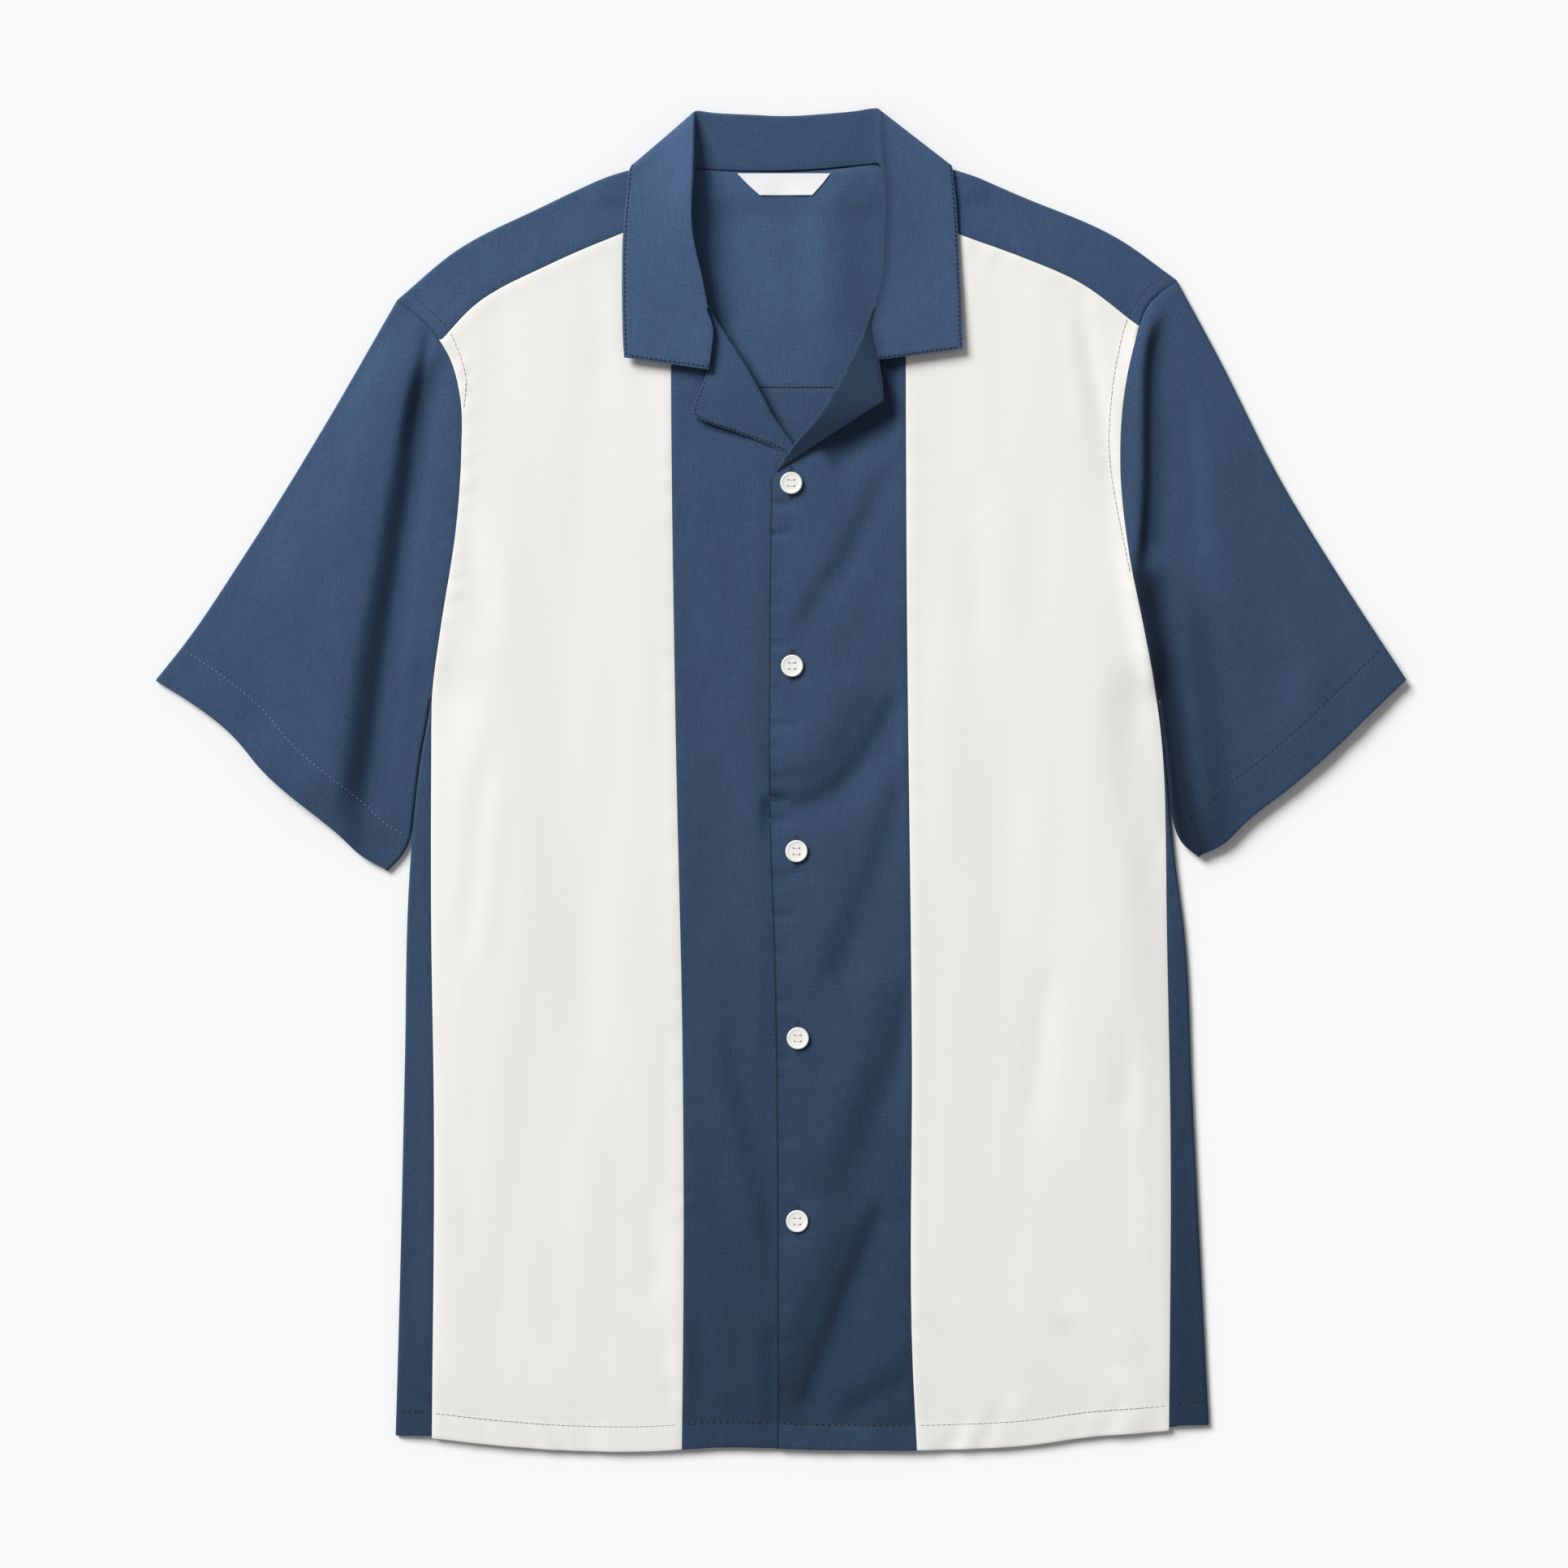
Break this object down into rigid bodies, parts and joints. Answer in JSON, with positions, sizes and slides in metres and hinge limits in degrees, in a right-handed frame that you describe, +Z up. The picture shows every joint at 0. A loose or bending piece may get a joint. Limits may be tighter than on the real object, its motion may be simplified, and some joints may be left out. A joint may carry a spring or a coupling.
{
  "type": "bowling shirt",
  "caption": "Short-sleeved camp-collar shirt with contrast front panels, buttoned and laid flat with its front up.",
  "frame": {"origin": "middle of the footprint, on the surface that the shirt lies on", "axes": "+Z up out of the shirt's front, +Y towards the collar, +X towards the wearer's left"},
  "size_m": [0.7168, 0.7698, 0.0167],
  "materials": {
    "blue_twill": "matte slate-blue twill",
    "cream_twill": "matte off-white twill",
    "label_white": "smooth white satin tape",
    "button_white": "polished off-white resin"
  },
  "bodies": {
    "root": {"back": "blue_twill", "yoke": "blue_twill", "front_side_right": "cream_twill", "front_side_left": "cream_twill", "front_center_right": "blue_twill", "front_center_left": "blue_twill", "collar": "blue_twill", "sleeve_right": "blue_twill", "sleeve_left": "blue_twill", "neck_label": "label_white", "button_1": "button_white", "button_2": "button_white", "button_3": "button_white", "button_4": "button_white", "button_5": "button_white"}
  },
  "joints": []
}
